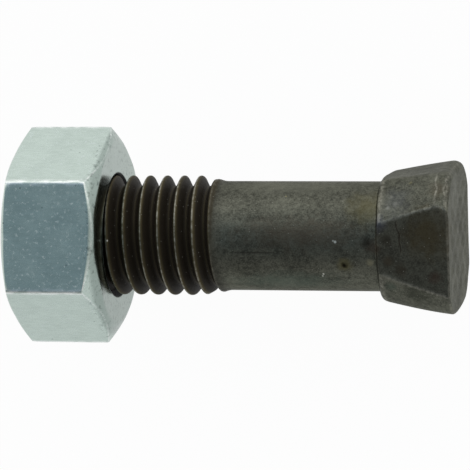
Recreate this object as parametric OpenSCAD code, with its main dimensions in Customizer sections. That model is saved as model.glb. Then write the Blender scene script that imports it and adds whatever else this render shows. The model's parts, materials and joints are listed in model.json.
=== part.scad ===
// Plough bolt with a tapered square countersunk head and a hexagon nut,
// lying on a flat surface as it comes to rest: on a flat of the nut and a corner of the head.
// Millimetres. +X runs along the bolt from the nut to the head, +Z is up, z = 0 is the surface.

/* [Bolt] */
// Length from the tip to the flat end of the head
bolt_l = 45; // [40:0.5:80]
// Diameter of the plain shank
shank_d = 10.88; // [10.4:0.02:11.4]

/* [Head] */
// Length from the end of the shank to the flat end
head_l = 7.5; // [6:0.1:10]
// Radius of the round shoulder between the shank and the cone
shoulder_r = 1.25; // [0.8:0.05:1.8]
// Slope of the cone against the axis, in degrees
cone_a = 13.6; // [8:0.1:16]
// Width across the square's flats at the flat end
flats_w = 14; // [13.5:0.1:15]
// Slope of the square's flats against the axis, in degrees
flats_a = 8.2; // [5:0.1:9]
// Radius of the rounded rim at the flat end
rim_r = 0.75; // [0.3:0.05:1.2]
// Turn of the square against the flats of the nut, in degrees
head_turn = 10; // [0:1:45]

/* [Thread] */
// Outer diameter over the crests
thread_d = 11.83; // [11.7:0.01:11.97]
// Diameter at the bottom of the groove
thread_root_d = 9.85; // [9.6:0.05:10.1]
// Axial step of one turn
thread_pitch = 1.75; // [1.6:0.05:2]
// Width of the flat on the crest
crest_w = 0.22; // [0.1:0.01:0.3]
// Slope of each flank against a plane square to the axis, in degrees
flank_a = 30; // [25:1:32]
// Length from the tip to the full shank
thread_l = 21.2; // [18:0.1:24]
// Turns over which the thread grows at the tip
start_turns = 0.8; // [0.4:0.1:1.5]
// Turns over which the crest fades into the shank
fade_turns = 1; // [0.8:0.1:2]
// Turns over which the groove runs out into the shank
runout_turns = 0.6; // [0.3:0.1:1.5]
// Turn of the thread about the axis, in degrees
thread_turn = 104; // [0:1:359]
// Length of the bevel at the tip
tip_l = 0.6; // [0.3:0.1:1]
// Diameter of the flat at the tip
tip_d = 8.8; // [8:0.1:9.4]
// How far the rolled lip stands above the shank where the shank starts
lip_h = 0.18; // [0.05:0.01:0.3]
// Length over which the lip sinks into the shank
lip_l = 0.9; // [0.4:0.1:2]

/* [Nut] */
// Width across the flats
nut_w = 19; // [18.4:0.1:19.6]
// Width across the trimmed corners
nut_corner_d = 21.65; // [21.2:0.05:22.6]
// Height
nut_h = 9.8; // [8:0.1:11]
// Diameter of the flat ring on each face
nut_face_d = 17.7; // [16.8:0.1:18.4]
// Slope of the corner bevel against the face, in degrees
nut_bevel_a = 27; // [20:1:35]
// Diameter of the countersink at each face
sink_d = 12.9; // [12.4:0.1:14]
// Half angle of the countersink, in degrees
sink_a = 45; // [35:1:60]
// Radial play of the nut's bore over the crests
bore_play = 0.06; // [0.03:0.01:0.1]
// How far the tip stands out of the nut
tip_out = 0.8; // [0:0.1:3]

/* [Hidden] */

$fn = 96;

// Overlap that takes a cutting shape clear of a face
over = 1;

// Bolt, along its own axis from the tip
shank_r = shank_d / 2;
head_z = bolt_l - head_l;

// Cone of the head: it leaves the shoulder's arc square to its radius
cone_z = head_z + shoulder_r * (1 - sin(cone_a));
cone_r = shank_r + shoulder_r * cos(cone_a);
function cone_r_at(z) = cone_r + (z - cone_z) * tan(cone_a);
function flats_at(z) = flats_w / 2 - (bolt_l - z) * tan(flats_a);

// Rim: an arc between the cone and the flat end
rim_z = bolt_l - rim_r;
rim_c = cone_r_at(rim_z) - rim_r / cos(cone_a);

// Thread: a ridge wound round a core, in straight steps
steps = 48;
step_a = 360 / steps;
root_r = thread_root_d / 2;
ridge_h = (thread_d - thread_root_d) / 2;
ridge_w = crest_w + 2 * ridge_h * tan(flank_a);
ridge_gap = crest_w / 4;
plug_l = lip_l / 8;
ridge_z0 = tip_l + ridge_w / 2 + ridge_gap;
ridge_z1 = thread_l - ridge_w / 2 - ridge_gap;
ridge_n = floor((ridge_z1 - ridge_z0) / thread_pitch * steps);
start_a = thread_turn + 360 * ridge_z0 / thread_pitch;

// Nut, placed along the bolt
apothem = nut_w / 2;
nut_face_r = nut_face_d / 2;
seat_z = tip_out + nut_h;
corner_bevel = (nut_corner_d - nut_face_d) / 2 * tan(nut_bevel_a);
flat_bevel = (apothem - nut_face_r) * tan(nut_bevel_a);
bore_r = thread_d / 2 + bore_play;
sink_l = (sink_d / 2 - bore_r) / tan(sink_a);

// Rest: the head sinks until its rim meets the surface under the nut's flat
rim_samples = 24;
function rim_a(i) = (90 + cone_a) * i / rim_samples;
function rim_point(i) = [rim_z + rim_r * cos(rim_a(i)), rim_c + rim_r * sin(rim_a(i))];
function corner_a(p) = acos(min(1, flats_at(p[0]) / p[1]));
function drop(p) = p[1] * cos(max(0, corner_a(p) - head_turn));
function tilt_at(p) = atan((apothem - drop(p)) / (p[0] - seat_z + flat_bevel));
tilt = min([for (i = [0:rim_samples]) tilt_at(rim_point(i))]);
rest_h = apothem * cos(tilt) - flat_bevel * sin(tilt);

// Ends of the lying bolt, from the middle of the nut's bearing face
left_end = -seat_z * cos(tilt) - tip_d / 2 * sin(tilt);
right_end = (bolt_l - seat_z) * cos(tilt) + rim_c * sin(tilt);
middle = (left_end + right_end) / 2;

// Points on an arc about a centre, from one angle to another
function arc(centre, r, a0, a1, n) =
    [for (i = [0:n]) let (a = a0 + (a1 - a0) * i / n) centre + r * [cos(a), sin(a)]];

// A point at a radius, an angle and a height
function polar(r, a, z) = [r * cos(a), r * sin(a), z];

// Share of the ridge's full height at a step: it grows at the tip and fades at the shank
function rise(i) = min(1, i / (start_turns * steps));
function fade(i) = min(1, (ridge_n - i) / (fade_turns * steps));
function runout(i) = max(0, 1 - (ridge_n - i) / (runout_turns * steps));

// Radii of the groove and the crest at a step
function groove_r(i) = root_r + (shank_r - root_r) * runout(i);
function crest_r(i) = max(groove_r(i), min(root_r + ridge_h * rise(i), shank_r + (thread_d / 2 - shank_r) * fade(i)));

// The ridge's four points at a step: groove, crest, crest, groove
function ridge_points(i) =
    let (a = start_a + i * step_a, z = ridge_z0 + thread_pitch * i / steps)
    [
        polar(groove_r(i), a, z - ridge_w / 2),
        polar(crest_r(i), a, z - crest_w / 2),
        polar(crest_r(i), a, z + crest_w / 2),
        polar(groove_r(i), a, z + ridge_w / 2)
    ];

// A ring of points square to the axis
function ring(r, z) = [for (i = [0:steps - 1]) polar(r, start_a + i * step_a, z)];

// Moves a piece from its own axis to its place as the bolt lies at rest
module lie_down() {
    translate([-middle, 0, rest_h])
        rotate([0, tilt, 0])
            translate([-seat_z, 0, 0])
                rotate([0, 90, 0])
                    children();
}

// Threaded end: tip bevel, core and the ridge wound round it, closed by a flat end just inside the lip
module threaded_end() {
    last = ridge_n - steps;
    tip = 0;
    foot = steps;
    top = 2 * steps;
    ridge = 3 * steps;
    points = concat(
        ring(tip_d / 2, 0),
        ring(root_r, tip_l),
        [for (j = [0:steps - 1]) polar(shank_r, start_a + (ridge_n + j) * step_a, thread_l + plug_l)],
        [for (i = [0:ridge_n]) each ridge_points(i)]
    );
    ends = [
        [for (j = [0:steps - 1]) tip + j],
        [for (j = [steps - 1:-1:0]) top + j]
    ];
    bevel = [for (j = [0:steps - 1]) let (k = (j + 1) % steps) each [
        [tip + j, foot + j, foot + k],
        [tip + j, foot + k, tip + k]
    ]];
    // Three strips along the ridge, and the groove's floor up to the next turn
    flanks = [for (i = [0:ridge_n - 1], s = [0:2]) let (p = ridge + 4 * i + s) each [
        [p, p + 1, p + 5],
        [p, p + 5, p + 4]
    ]];
    floor_strip = [for (i = [0:last - 1]) let (p = ridge + 4 * i + 3, q = ridge + 4 * (i + steps)) each [
        [p, q, q + 4],
        [p, q + 4, p + 4]
    ]];
    // Wedges that fill up to the flat ends, each closed by a fan at its steep side
    low_wedge = [for (j = [0:steps - 2]) let (p = foot + j, q = ridge + 4 * j) each [
        [p, q, q + 4],
        [p, q + 4, p + 1]
    ]];
    low_pivot = ridge + 4 * (steps - 1);
    low_chain = [foot, ridge, ridge + 1, ridge + 2, ridge + 3, ridge + 4 * steps];
    low_fan = concat(
        [[foot + steps - 1, low_pivot, foot]],
        [for (c = [0:4]) [low_pivot, low_chain[c + 1], low_chain[c]]]
    );
    high_wedge = [for (j = [1:steps - 1]) let (p = ridge + 4 * (last + j) + 3, q = top + j) each [
        [p, q, j == steps - 1 ? top : q + 1],
        [p, j == steps - 1 ? top : q + 1, p + 4]
    ]];
    high_pivot = ridge + 4 * (last + 1) + 3;
    end_p = ridge + 4 * ridge_n;
    high_chain = [ridge + 4 * last + 3, end_p, end_p + 1, end_p + 2, end_p + 3, top];
    high_fan = concat(
        [for (c = [0:4]) [high_pivot, high_chain[c], high_chain[c + 1]]],
        [[high_pivot, top, top + 1]]
    );
    polyhedron(points, concat(ends, bevel, flanks, floor_strip, low_wedge, low_fan, high_wedge, high_fan));
}

// Half outline of the shank and the head, as radius and height
function shank_outline() = concat(
    [[0, thread_l], [shank_r + lip_h, thread_l], [shank_r, thread_l + lip_l]],
    arc([shank_r, head_z + shoulder_r], shoulder_r, -90, -cone_a, 8),
    [for (i = [rim_samples:-4:0]) [rim_point(i)[1], rim_point(i)[0]]],
    [[0, bolt_l]]
);

// Space outside one flat of the head's square
module outside_flat() {
    translate([flats_at(head_z), 0, head_z])
        rotate([0, flats_a, 0])
            translate([0, -flats_w, 0])
                cube([flats_w, 2 * flats_w, head_l + over * 2]);
}

module bolt() {
    color("#3b3a35")
        lie_down() {
            threaded_end();
            difference() {
                rotate_extrude() polygon(shank_outline());
                for (side = [0:3])
                    rotate(head_turn + 90 * side) outside_flat();
            }
        }
}

// Half outline of a disc with both rims bevelled at the nut's corner slope
function bevel_outline() = [
    [0, tip_out],
    [nut_face_r, tip_out],
    [nut_corner_d / 2, tip_out + corner_bevel],
    [nut_corner_d / 2, seat_z - corner_bevel],
    [nut_face_r, seat_z],
    [0, seat_z]
];

// Half outline of the bore and its two countersinks, run past both faces
function bore_outline() = [
    [0, tip_out - over],
    [sink_d / 2 + over * tan(sink_a), tip_out - over],
    [bore_r, tip_out + sink_l],
    [bore_r, seat_z - sink_l],
    [sink_d / 2 + over * tan(sink_a), seat_z + over],
    [0, seat_z + over]
];

module hex_nut() {
    color("#bccbc7")
        lie_down()
            difference() {
                intersection() {
                    translate([0, 0, tip_out])
                        rotate(30)
                            cylinder(h = nut_h, r = apothem / cos(30), $fn = 6);
                    rotate_extrude() polygon(bevel_outline());
                }
                rotate_extrude() polygon(bore_outline());
            }
}

bolt();
hex_nut();
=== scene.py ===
"""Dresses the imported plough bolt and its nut: meshes, finishes, studio and camera.

Each piece is modelled along its own axis, tip at z = 0 and head up, from sizes in millimetres, and
is then laid down where the record's joint says that the nut's bearing face is.
"""
import json
import logging
import math
from dataclasses import dataclass, field
from enum import Enum

import bmesh
import bpy
import numpy as np
from mathutils import Matrix, Vector


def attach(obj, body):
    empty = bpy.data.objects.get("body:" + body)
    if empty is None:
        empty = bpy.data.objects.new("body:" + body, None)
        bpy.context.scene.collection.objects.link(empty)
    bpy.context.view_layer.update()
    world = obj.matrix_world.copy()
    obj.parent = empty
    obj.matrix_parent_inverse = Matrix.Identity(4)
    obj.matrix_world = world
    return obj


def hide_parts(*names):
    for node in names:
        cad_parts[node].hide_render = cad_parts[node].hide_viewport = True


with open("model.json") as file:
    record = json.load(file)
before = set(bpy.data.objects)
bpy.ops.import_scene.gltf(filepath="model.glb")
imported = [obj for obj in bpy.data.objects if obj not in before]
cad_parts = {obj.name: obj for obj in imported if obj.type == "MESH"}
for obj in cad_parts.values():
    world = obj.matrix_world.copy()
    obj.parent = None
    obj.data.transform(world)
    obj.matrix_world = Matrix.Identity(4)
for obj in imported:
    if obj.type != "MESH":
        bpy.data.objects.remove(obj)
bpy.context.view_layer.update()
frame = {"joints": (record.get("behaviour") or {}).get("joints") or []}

LOG = logging.getLogger("plough_bolt")
MM = 0.001
WEAR_AND_HIGHLIGHT = "wear_and_highlight"
SOOT = "soot"
# Tolerances of welding, cutting and finding rings, and the sharpest angle that is shaded smooth
WELD_MM = 0.002
CUT_MM = 0.0005
RING_REACH_MM = 0.5
SHADE_ANGLE = 50.0
# Sockets of a mix node, by number because its colours and its numbers share their names
MIX_SHARE, MIX_UNDER, MIX_OVER, MIX_RESULT = 0, 6, 7, 2
FLOAT_UNDER, FLOAT_OVER = 2, 3
Point = tuple[float, float]
Row = tuple[float, float, float]


class Body(Enum):
    """CAD bodies that the pieces ride on."""

    BOLT = "bolt"
    NUT = "nut"


class Slot(Enum):
    """Material slots of the record."""

    BLACK_STEEL = "black_steel"
    ZINC_PLATE = "zinc_plate"


class Mode(Enum):
    """Modes of Blender's mesh editor."""

    EDIT = "EDIT"
    OBJECT = "OBJECT"


def linear(code: str) -> tuple[float, float, float, float]:
    """Turn an sRGB hex colour into a linear one.

    Args:
        code: six hex digits after a hash sign.
    Returns:
        Red, green, blue and alpha.
    """
    parts = [int(code[i:i + 2], 16) / 255 for i in (1, 3, 5)]
    rgb = [p / 12.92 if p <= 0.04045 else ((p + 0.055) / 1.055) ** 2.4 for p in parts]
    return (rgb[0], rgb[1], rgb[2], 1.0)


def add_node(tree: bpy.types.NodeTree, kind: str, inputs: dict | None = None, **settings) -> bpy.types.Node:
    """Add a node with its settings, values and links.

    Args:
        tree: node tree that takes the node.
        kind: node type, without its leading "ShaderNode".
        inputs: a value or a socket to link, for each input by name or number.
        settings: attributes of the node.
    Returns:
        The new node.
    """
    node = tree.nodes.new("ShaderNode" + kind)
    for name, value in settings.items():
        setattr(node, name, value)
    for key, value in (inputs or {}).items():
        if isinstance(value, bpy.types.NodeSocket):
            tree.links.new(value, node.inputs[key])
        else:
            node.inputs[key].default_value = value
    return node


def smooth_min(a: np.ndarray, b: np.ndarray, width: float) -> np.ndarray:
    """Lower of two heights, with the crossing rounded over a width."""
    blend = np.clip(0.5 + 0.5 * (b - a) / width, 0, 1)
    return b + (a - b) * blend - width * blend * (1 - blend)


def smooth_max(a: np.ndarray, b: np.ndarray, width: float) -> np.ndarray:
    """Higher of two heights, with the crossing rounded over a width."""
    return -smooth_min(-a, -b, width)


@dataclass(frozen=True)
class Band:
    """A soft band: where its middle is, how wide it is and how strong there."""

    middle: float
    width: float
    strength: float = 1.0

    def at(self, place: np.ndarray) -> np.ndarray:
        """Strength of the band at each place."""
        return self.strength * np.exp(-((place - self.middle) / self.width) ** 2)


@dataclass(frozen=True)
class Ramp:
    """A straight ramp: the values where it begins and finishes, and what it gives first and last."""

    begin: float
    finish: float
    first: float = 0.0
    last: float = 1.0

    def at(self, value: np.ndarray) -> np.ndarray:
        """What the ramp gives at each value."""
        share = np.clip((value - self.begin) / (self.finish - self.begin), 0, 1)
        return self.first + (self.last - self.first) * share

    def inputs(self, value: bpy.types.NodeSocket) -> dict:
        """Inputs of a range node that reads a value off the ramp."""
        return {"Value": value, "From Min": self.begin, "From Max": self.finish, "To Min": self.first,
                "To Max": self.last}


def arc(centre: Point, radius: float, start: float, end: float, steps: int) -> list[Point]:
    """Points on an arc.

    Args:
        centre: radius and height of the arc's centre.
        radius: radius of the arc.
        start: first angle, in degrees.
        end: last angle, in degrees.
        steps: number of straight steps.
    Returns:
        The points, as radius and height.
    """
    angles = [math.radians(start + (end - start) * i / steps) for i in range(steps + 1)]
    return [(centre[0] + radius * math.cos(a), centre[1] + radius * math.sin(a)) for a in angles]


def line(start: Point, end: Point, steps: int) -> list[Point]:
    """Points on a straight line, without its first point."""
    return [(start[0] + (end[0] - start[0]) * i / steps, start[1] + (end[1] - start[1]) * i / steps)
            for i in range(1, steps + 1)]


class Bench:
    """Modelling steps that the pieces share."""

    @staticmethod
    def mode(mode: Mode) -> None:
        """Go to a mode of the editor."""
        bpy.ops.object.mode_set(mode=mode.value)

    @staticmethod
    def draw(name: str, points: list[Point]) -> bpy.types.Object:
        """Draw a half outline by pulling one vertex along it.

        Args:
            name: name of the new object.
            points: radius and height of each point, in millimetres.
        Returns:
            The object, with the chain of edges in its mesh.
        """
        bpy.ops.object.select_all(action="DESELECT")
        bpy.ops.mesh.primitive_plane_add(size=MM)
        piece = bpy.context.object
        piece.name = piece.data.name = name
        Bench.mode(Mode.EDIT)
        bpy.ops.mesh.merge(type="CENTER")
        bpy.ops.transform.translate(value=(points[0][0] * MM, 0, points[0][1] * MM))
        for (r0, z0), (r1, z1) in zip(points, points[1:]):
            pull = ((r1 - r0) * MM, 0, (z1 - z0) * MM)
            bpy.ops.mesh.extrude_region_move(TRANSFORM_OT_translate={"value": pull})
        Bench.mode(Mode.OBJECT)
        return piece

    @staticmethod
    def spin(piece: bpy.types.Object, steps: int) -> None:
        """Turn a half outline once round the axis.

        Args:
            piece: object that holds the outline; not used, the spin works on the active object.
            steps: number of steps round.
        """
        Bench.mode(Mode.EDIT)
        bpy.ops.mesh.select_all(action="SELECT")
        bpy.ops.mesh.spin(steps=steps, angle=math.tau, center=(0, 0, 0), axis=(0, 0, 1))
        Bench.weld()
        Bench.mode(Mode.OBJECT)

    @staticmethod
    def wind(piece: bpy.types.Object, pitch: float, turns: int, steps: int) -> None:
        """Wind an outline of one pitch up a right-hand helix.

        Args:
            piece: object that holds the outline.
            pitch: height of one turn, in millimetres.
            turns: number of turns.
            steps: number of steps in a turn.
        """
        bpy.ops.object.modifier_add(type="SCREW")
        screw = piece.modifiers[-1]
        screw.axis = "Z"
        screw.angle = math.tau
        screw.screw_offset = pitch * MM
        screw.iterations = turns
        screw.steps = screw.render_steps = steps
        bpy.ops.object.modifier_apply(modifier=screw.name)
        Bench.mode(Mode.EDIT)
        bpy.ops.mesh.select_all(action="SELECT")
        Bench.weld()
        Bench.mode(Mode.OBJECT)

    @staticmethod
    def weld() -> None:
        """Merge the doubles among what is selected."""
        bpy.ops.mesh.remove_doubles(threshold=WELD_MM * MM)

    @staticmethod
    def trim(piece: bpy.types.Object, height: float, keep_above: bool) -> None:
        """Cut a piece square to its axis, and leave the cut open.

        Args:
            piece: object to cut; not used, the cut works on the active object.
            height: height of the cut, in millimetres.
            keep_above: whether the upper part stays.
        """
        Bench.mode(Mode.EDIT)
        bpy.ops.mesh.select_all(action="SELECT")
        bpy.ops.mesh.bisect(plane_co=(0, 0, height * MM), plane_no=(0, 0, 1), use_fill=False,
                            clear_inner=keep_above, clear_outer=not keep_above, threshold=CUT_MM * MM)
        Bench.mode(Mode.OBJECT)

    @staticmethod
    def refine(piece: bpy.types.Object, low: float, high: float, cuts: int) -> None:
        """Divide the faces between two heights.

        Args:
            piece: object to refine.
            low: lower height, in millimetres.
            high: upper height, in millimetres.
            cuts: number of cuts across each edge.
        """
        Bench.mode(Mode.EDIT)
        bpy.ops.mesh.select_all(action="DESELECT")
        shape = bmesh.from_edit_mesh(piece.data)
        for face in shape.faces:
            face.select_set(low * MM < face.calc_center_median().z < high * MM)
        bmesh.update_edit_mesh(piece.data)
        bpy.ops.mesh.subdivide(number_cuts=cuts)
        Bench.mode(Mode.OBJECT)

    @staticmethod
    def points(piece: bpy.types.Object) -> tuple[np.ndarray, np.ndarray, np.ndarray]:
        """Places of a piece's vertices.

        Args:
            piece: object to read.
        Returns:
            Radius and height in millimetres, and angle round the axis in degrees.
        """
        flat = np.empty(len(piece.data.vertices) * 3, np.float32)
        piece.data.vertices.foreach_get("co", flat)
        x, y, z = flat.reshape(-1, 3).astype(float).T / MM
        return np.hypot(x, y), z, np.degrees(np.arctan2(y, x)) % 360

    @staticmethod
    def place(piece: bpy.types.Object, radius: np.ndarray, height: np.ndarray, angle: np.ndarray) -> None:
        """Move a piece's vertices.

        Args:
            piece: object to shape.
            radius: new radius of each vertex, in millimetres.
            height: new height of each vertex, in millimetres.
            angle: angle of each vertex, in degrees.
        """
        turn = np.radians(angle)
        places = np.stack([radius * np.cos(turn), radius * np.sin(turn), height], -1) * MM
        piece.data.vertices.foreach_set("co", places.astype(np.float32).ravel())
        piece.data.update()

    @staticmethod
    def mark(piece: bpy.types.Object, name: str, amount: np.ndarray) -> None:
        """Keep an amount from none to full for each vertex, such as how worn it is."""
        layer = piece.data.attributes.new(name, "FLOAT", "POINT")
        layer.data.foreach_set("value", np.clip(amount, 0, 1).astype(np.float32))

    @staticmethod
    def join(base: bpy.types.Object, others: list[bpy.types.Object], heights: list[float]) -> None:
        """Join meshes into one and bridge the open rings that face each other.

        Args:
            base: object that takes the others in.
            others: objects to join to it.
            heights: middle height of each pair of rings to bridge, in millimetres.
        """
        bpy.ops.object.select_all(action="DESELECT")
        for piece in [*others, base]:
            piece.select_set(True)
        bpy.context.view_layer.objects.active = base
        bpy.ops.object.join()
        Bench.mode(Mode.EDIT)
        for height in heights:
            bpy.ops.mesh.select_mode(type="EDGE")
            bpy.ops.mesh.select_all(action="DESELECT")
            shape = bmesh.from_edit_mesh(base.data)
            for edge in shape.edges:
                middle = (edge.verts[0].co.z + edge.verts[1].co.z) / 2
                edge.select_set(edge.is_boundary and abs(middle - height * MM) < RING_REACH_MM * MM)
            bmesh.update_edit_mesh(base.data)
            bpy.ops.mesh.bridge_edge_loops()
        bpy.ops.mesh.select_mode(type="VERT")
        bpy.ops.mesh.select_all(action="SELECT")
        Bench.weld()
        bpy.ops.mesh.normals_make_consistent(inside=False)
        Bench.mode(Mode.OBJECT)

    @staticmethod
    def lay_down(piece: bpy.types.Object, seat_height: float) -> None:
        """Put a piece where the record's joint has the nut's bearing face, and shade it.

        Args:
            piece: object to lay down.
            seat_height: height of the bearing face along the bolt, in millimetres.
        """
        joint = frame["joints"][0]
        axis = Vector(joint["axis"])
        dip = math.atan2(-axis.z, axis.x)
        piece.matrix_world = (Matrix.Translation(joint["pos_m"]) @ Matrix.Rotation(dip + math.pi / 2, 4, "Y")
                              @ Matrix.Translation((0, 0, -seat_height * MM)))
        bpy.ops.object.select_all(action="DESELECT")
        piece.select_set(True)
        bpy.context.view_layer.objects.active = piece
        bpy.ops.object.transform_apply(location=True, rotation=True, scale=True)
        bpy.ops.object.shade_smooth_by_angle(angle=math.radians(SHADE_ANGLE))


@dataclass(frozen=True)
class Thread:
    """Right-hand rolled thread, in millimetres and degrees."""

    pitch: float = 1.75
    crest_r: float = 5.975
    root_r: float = 4.925
    flank_a: float = 30.0
    crest_round: float = 0.19
    root_round: float = 0.335
    turn: float = 104.0
    root_steps: int = 5
    flank_steps: int = 4
    crest_steps: int = 8
    spare_below: int = 1
    spare_above: int = 2

    def outline(self) -> list[Point]:
        """Outline of one pitch, from the bottom of a groove over the crest to the next groove.

        Returns:
            Radius and height of each point, with the crest at no height.
        """
        half = self.pitch / 2
        lean = 90 - self.flank_a
        root_r = self.root_r + self.root_round
        low = arc((root_r, -half), self.root_round, 180, 180 - lean, self.root_steps)
        crest = arc((self.crest_r - self.crest_round, 0), self.crest_round, -lean, lean, self.crest_steps)
        high = arc((root_r, half), self.root_round, 180 + lean, 180, self.root_steps)
        rising = line(low[-1], crest[0], self.flank_steps)
        falling = line(crest[-1], high[0], self.flank_steps)
        return low + rising + crest[1:] + falling + high[1:]

    def phase(self, height: np.ndarray, angle: np.ndarray) -> np.ndarray:
        """Turns from the nearest crest, from minus a half to a half."""
        turns = height / self.pitch - (angle - self.turn) / 360
        return turns - np.round(turns)

    def radius(self, height: np.ndarray, angle: np.ndarray) -> np.ndarray:
        """Radius of the bolt's thread at each height and angle."""
        shape = np.array(self.outline())
        return np.interp(self.phase(height, angle) * self.pitch, shape[:, 1], shape[:, 0])

    def coil(self, name: str, low: float, high: float, steps: int) -> bpy.types.Object:
        """Wind the thread's surface with a few spare turns, and trim it square at both ends.

        Args:
            name: name of the new object.
            low: height of the lower end.
            high: height of the upper end.
            steps: number of steps in a turn.
        Returns:
            The open coil, in phase with the bolt.
        """
        start = math.floor(low / self.pitch) - self.spare_below - self.turn / 360
        piece = Bench.draw(name, [(r, z + start * self.pitch) for r, z in self.outline()])
        turns = math.ceil((high - low) / self.pitch) + self.spare_below + self.spare_above
        Bench.wind(piece, self.pitch, turns, steps)
        Bench.trim(piece, low, keep_above=True)
        Bench.trim(piece, high, keep_above=False)
        return piece


@dataclass(frozen=True)
class Shank:
    """Plain shank, and where on it the two halves of the bolt's mesh meet, in millimetres."""

    radius: float = 5.41
    joint_z: float = 23.4
    joint_gap: float = 0.3


@dataclass
class ThreadedEnd:
    """Rolled thread from the tip to the shank, in millimetres.

    Distances past the lip are along the bolt. Distances from a crest, and those before the lip along
    the thread, are in turns.
    """

    thread: Thread = field(default_factory=Thread)
    shank: Shank = field(default_factory=Shank)
    steps: int = 120

    # Bevelled tip, and its dished face: the share of the ring before it and the rise of each ring
    tip_r: float = 4.39
    tip_slope: float = 0.875
    tip_round: float = 0.12
    tip_rings: tuple[Point, ...] = ((0.97, 0.0), (0.93, 0.03), (0.75, 0.08), (0.5, 0.05), (0.4, 0.01))
    tip_reach: float = 0.05

    # Low ring that the rolling pushes up where the thread ends
    lip_z: float = 21.18
    lip_lean: float = 0.25
    lip_h: float = 0.18
    lip_foot: float = 0.06
    lip_round: float = 0.14
    lip_fall: Ramp = Ramp(0.15, 1.05)
    lip_fine: Point = (-0.9, 0.7)
    lip_cuts: int = 1

    # Last crest, which sinks to the lip's height, and its groove
    last_crest: Ramp = Ramp(0.6, 1.0)
    last_crest_round: float = 0.08
    last_root_round: float = 0.1

    # Bare steel on the crests and the lip
    crest_wear: Band = Band(-0.037, 0.04)
    crest_wear_end: Ramp = Ramp(0.2, 1.2)
    lip_wear: Band = Band(0.02, 0.1, 0.35)

    # Dark dried oil in the groove, thinner at its bottom, and past the lip
    groove_shift: float = 0.02
    groove_soot: Ramp = Ramp(0.05, 0.18)
    groove_soot_end: Ramp = Ramp(0.0, -0.15)
    bare_root: Band = Band(0.5, 0.05, 0.4)
    lip_soot: Ramp = Ramp(1.2, 0.2, 0.0, 0.5)

    def radius(self, height: np.ndarray, angle: np.ndarray, past: np.ndarray) -> np.ndarray:
        """Radius of the threaded end.

        Args:
            height: heights along the bolt.
            angle: angles round it.
            past: distances past the lip.
        Returns:
            The radius at each place.
        """
        lip_r = self.shank.radius + self.lip_h
        cap = lip_r + (self.thread.crest_r - lip_r) * self.last_crest.at(-past / self.thread.pitch)
        ridge = smooth_min(self.thread.radius(height, angle), cap, self.last_crest_round)
        flank = lip_r + (past + self.lip_foot) / math.tan(math.radians(self.thread.flank_a))
        crown = self.shank.radius + self.lip_h * (1 - self.lip_fall.at(past)) ** 2
        lip = smooth_min(crown, flank, self.lip_round)
        shape = np.where(past > 0, lip, smooth_max(ridge, lip, self.last_root_round))
        return smooth_min(shape, self.tip_r + self.tip_slope * height, self.tip_round)

    def weather(self, piece: bpy.types.Object, phase: np.ndarray, past: np.ndarray) -> None:
        """Mark where the steel is bare and where dried oil lies.

        Args:
            piece: object to mark.
            phase: turns of each vertex from the nearest crest.
            past: distance of each vertex past the lip.
        """
        crest = self.crest_wear.at(phase) * self.crest_wear_end.at(-past / self.thread.pitch)
        Bench.mark(piece, WEAR_AND_HIGHLIGHT, np.maximum(crest, self.lip_wear.at(past)))
        groove = self.groove_soot.at(np.abs(phase + self.groove_shift)) * self.groove_soot_end.at(past)
        groove = groove * (1 - self.bare_root.at(np.abs(phase)))
        Bench.mark(piece, SOOT, np.maximum(groove, self.lip_soot.at(past) * (past > 0)))

    def close_tip(self, piece: bpy.types.Object) -> None:
        """Close the tip with a shallow dished face.

        Args:
            piece: object whose lowest ring is open.
        """
        Bench.mode(Mode.EDIT)
        bpy.ops.mesh.select_mode(type="EDGE")
        bpy.ops.mesh.select_all(action="DESELECT")
        shape = bmesh.from_edit_mesh(piece.data)
        for edge in shape.edges:
            edge.select_set(edge.is_boundary and max(v.co.z for v in edge.verts) < self.tip_reach * MM)
        bmesh.update_edit_mesh(piece.data)
        for share, rise in self.tip_rings:
            bpy.ops.mesh.extrude_edges_move(TRANSFORM_OT_translate={"value": (0, 0, rise * MM)})
            bpy.ops.transform.resize(value=(share, share, 1), center_override=(0, 0, 0))
        bpy.ops.mesh.merge(type="CENTER")
        bpy.ops.mesh.select_mode(type="VERT")
        Bench.mode(Mode.OBJECT)

    def build(self) -> bpy.types.Object:
        """Wind the thread, run it out into the lip and close the tip.

        Returns:
            The mesh, open towards the head.
        """
        piece = self.thread.coil("forged_bolt", 0, self.shank.joint_z, self.steps)
        low, high = (self.lip_z + reach for reach in self.lip_fine)
        Bench.refine(piece, low, high, self.lip_cuts)
        _, z, angle = Bench.points(piece)
        past = z - self.lip_z + self.lip_lean * np.sin(np.radians(angle))
        Bench.place(piece, self.radius(z, angle, past), z, angle)
        self.weather(piece, self.thread.phase(z, angle), past)
        self.close_tip(piece)
        return piece


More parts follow.
